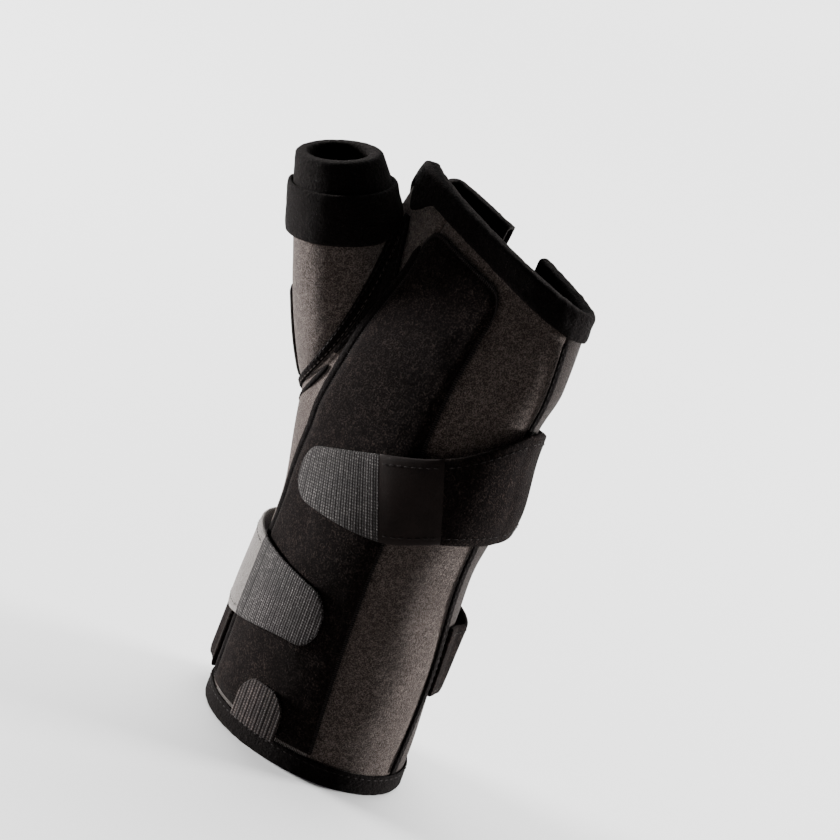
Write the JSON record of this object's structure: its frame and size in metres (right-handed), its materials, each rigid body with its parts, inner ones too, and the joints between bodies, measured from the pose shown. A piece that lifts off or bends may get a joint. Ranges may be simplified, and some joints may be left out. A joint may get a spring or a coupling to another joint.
{
  "type": "wrist splint",
  "caption": "Left-hand wrist and thumb splint: padded fabric sleeve with thumb tube, stays in pockets, bound edges and hook-and-loop straps.",
  "frame": {"origin": "centre of the bounding box at the forearm hem, on the surface it stands on", "axes": "+Z along the forearm towards the fingers, -Y is the palm side, -X the thumb side; a left-hand splint seen from the palm has its thumb at -X"},
  "size_m": [0.1264, 0.0732, 0.2249],
  "materials": {
    "sleeve_fabric": "brushed foam-backed knit",
    "lining_fabric": "soft padded lining",
    "loop_fabric": "loop pile",
    "smooth_webbing": "smooth laminated webbing",
    "woven_hook_tab": "ribbed woven backing of hook tape",
    "binding_tape": "fuzzy elastic binding",
    "stay_aluminium": "plain bent sheet",
    "stay_plastic": "flexible strip"
  },
  "bodies": {
    "sleeve": {"palmar_panel": "sleeve_fabric", "radial_panel": "sleeve_fabric", "ulnar_panel": "sleeve_fabric", "dorsal_tongue": "lining_fabric", "thumb_gusset": "sleeve_fabric", "thumb_top_binding": "binding_tape", "thumb_seam_tape": "binding_tape", "web_tape": "binding_tape", "bottom_binding": "binding_tape", "palm_binding": "binding_tape", "opening_binding_ulnar": "binding_tape", "opening_binding_radial": "binding_tape", "ulnar_seam_tape": "binding_tape", "palmar_pocket": "loop_fabric", "palmar_stay": "stay_aluminium", "dorsal_stay_pocket_ulnar": "loop_fabric", "dorsal_stay_pocket_radial": "loop_fabric", "dorsal_stay_ulnar": "stay_aluminium", "dorsal_stay_radial": "stay_aluminium", "thumb_stay_pocket": "loop_fabric", "thumb_stay": "stay_plastic", "wrist_strap": "loop_fabric", "middle_strap": "loop_fabric", "lower_strap": "loop_fabric", "thumb_strap": "loop_fabric"},
    "wrist_strap_swinging": {"wrist_strap_end": "loop_fabric", "wrist_strap_smooth_section": "smooth_webbing"},
    "wrist_tab": {"wrist_hook_tab": "woven_hook_tab"},
    "middle_strap_swinging": {"middle_strap_end": "loop_fabric"},
    "middle_tab": {"middle_hook_tab": "woven_hook_tab"},
    "lower_strap_swinging": {"lower_strap_end": "loop_fabric"},
    "lower_tab": {"lower_hook_tab": "woven_hook_tab"},
    "thumb_tab": {"thumb_hook_tab": "woven_hook_tab"},
    "flap": {"pocket_flap": "woven_hook_tab"}
  },
  "joints": [
    {"name": "wrist_strap_swing", "type": "hinge", "parent": "sleeve", "child": "wrist_strap_swinging", "pos_m": [0.0629, -0.00241, 0.13275], "axis": [-0.0198, -0.0396, 0.999], "range_deg": [0, 100]},
    {"name": "wrist_tab_peel", "type": "hinge", "parent": "wrist_strap_swinging", "child": "wrist_tab", "pos_m": [0.02696, -0.03263, 0.11475], "axis": [-0.4081, 0.0189, 0.9128], "range_deg": [0, 100]},
    {"name": "middle_strap_swing", "type": "hinge", "parent": "sleeve", "child": "middle_strap_swinging", "pos_m": [-0.03349, 0.00114, 0.0585], "axis": [-0.0449, 0.004, -0.999], "range_deg": [0, 100]},
    {"name": "middle_tab_peel", "type": "hinge", "parent": "middle_strap_swinging", "child": "middle_tab", "pos_m": [-0.01623, -0.02865, 0.05925], "axis": [-0.0298, -0.002, -0.9996], "range_deg": [0, 100]},
    {"name": "lower_strap_swing", "type": "hinge", "parent": "sleeve", "child": "lower_strap_swinging", "pos_m": [-0.03534, 0.01064, 0.0231], "axis": [0.0278, -0.0014, 0.9996], "range_deg": [0, 100]},
    {"name": "lower_tab_peel", "type": "hinge", "parent": "lower_strap_swinging", "child": "lower_tab", "pos_m": [0.0197, 0.03626, 0.02275], "axis": [-0.0037, 0.001, 1], "range_deg": [0, 100]},
    {"name": "thumb_tab_peel", "type": "hinge", "parent": "sleeve", "child": "thumb_tab", "pos_m": [-0.06016, -0.02175, 0.19426], "axis": [-0.1791, -0.203, 0.9627], "range_deg": [0, 90]},
    {"name": "pocket_flap_hinge", "type": "hinge", "parent": "sleeve", "child": "flap", "pos_m": [0.01157, -0.03622, 0.0093], "axis": [1, 0, 0], "range_deg": [0, 110]}
  ]
}
